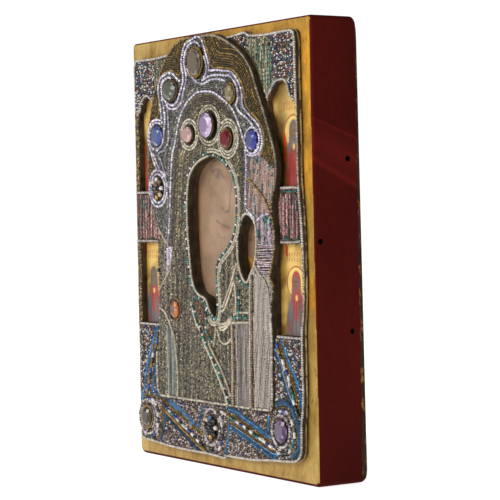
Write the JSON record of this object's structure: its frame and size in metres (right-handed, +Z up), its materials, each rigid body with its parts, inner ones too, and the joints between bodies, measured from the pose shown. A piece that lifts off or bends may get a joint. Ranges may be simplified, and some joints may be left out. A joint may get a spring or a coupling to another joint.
{
  "type": "icon panel",
  "caption": "Thick wooden icon board under a bead-embroidered cover with a raised mother and child, face openings, saint windows and set stones.",
  "frame": {"origin": "centre of the board's lower edge, the face it stands on", "axes": "+Z up along the board's height, +X to the viewer's right, +Y from the painted front to the back"},
  "size_m": [0.24, 0.0536, 0.3144],
  "materials": {
    "painted_wood": "oxblood paint on the sides, gilding on the front margin",
    "field_beadwork": "small glass beads sewn on cloth",
    "figure_beadwork": "small glass beads and gold thread sewn on padded cloth",
    "gilt_metal": "tarnished gilt brass",
    "smoky_glass": "foil-backed cut glass",
    "green_glass": "foil-backed cut glass",
    "blue_glass": "foil-backed cut glass",
    "lilac_glass": "foil-backed cut glass",
    "pink_glass": "foil-backed cut glass",
    "red_glass": "foil-backed cut glass",
    "amber_glass": "foil-backed cut glass",
    "rosette_beads": "glass beads sewn in a ring"
  },
  "bodies": {
    "root": {"board": "painted_wood", "beaded_field": "field_beadwork", "beaded_figure": "figure_beadwork", "crown_top_stone": "smoky_glass", "crown_top_stone_setting": "gilt_metal", "crown_left_stone": "green_glass", "crown_left_stone_setting": "gilt_metal", "crown_right_stone": "green_glass", "crown_right_stone_setting": "gilt_metal", "blue_left_stone": "blue_glass", "blue_right_stone": "blue_glass", "hood_amethyst": "lilac_glass", "hood_amethyst_setting": "gilt_metal", "hood_pink_stone": "pink_glass", "hood_pink_stone_setting": "gilt_metal", "hood_red_stone": "red_glass", "hood_red_stone_setting": "gilt_metal", "amber_stone": "amber_glass", "foot_left_stone": "smoky_glass", "foot_left_stone_setting": "gilt_metal", "foot_right_stone": "lilac_glass", "left_rosette": "rosette_beads", "foot_rosette": "rosette_beads"}
  },
  "joints": []
}
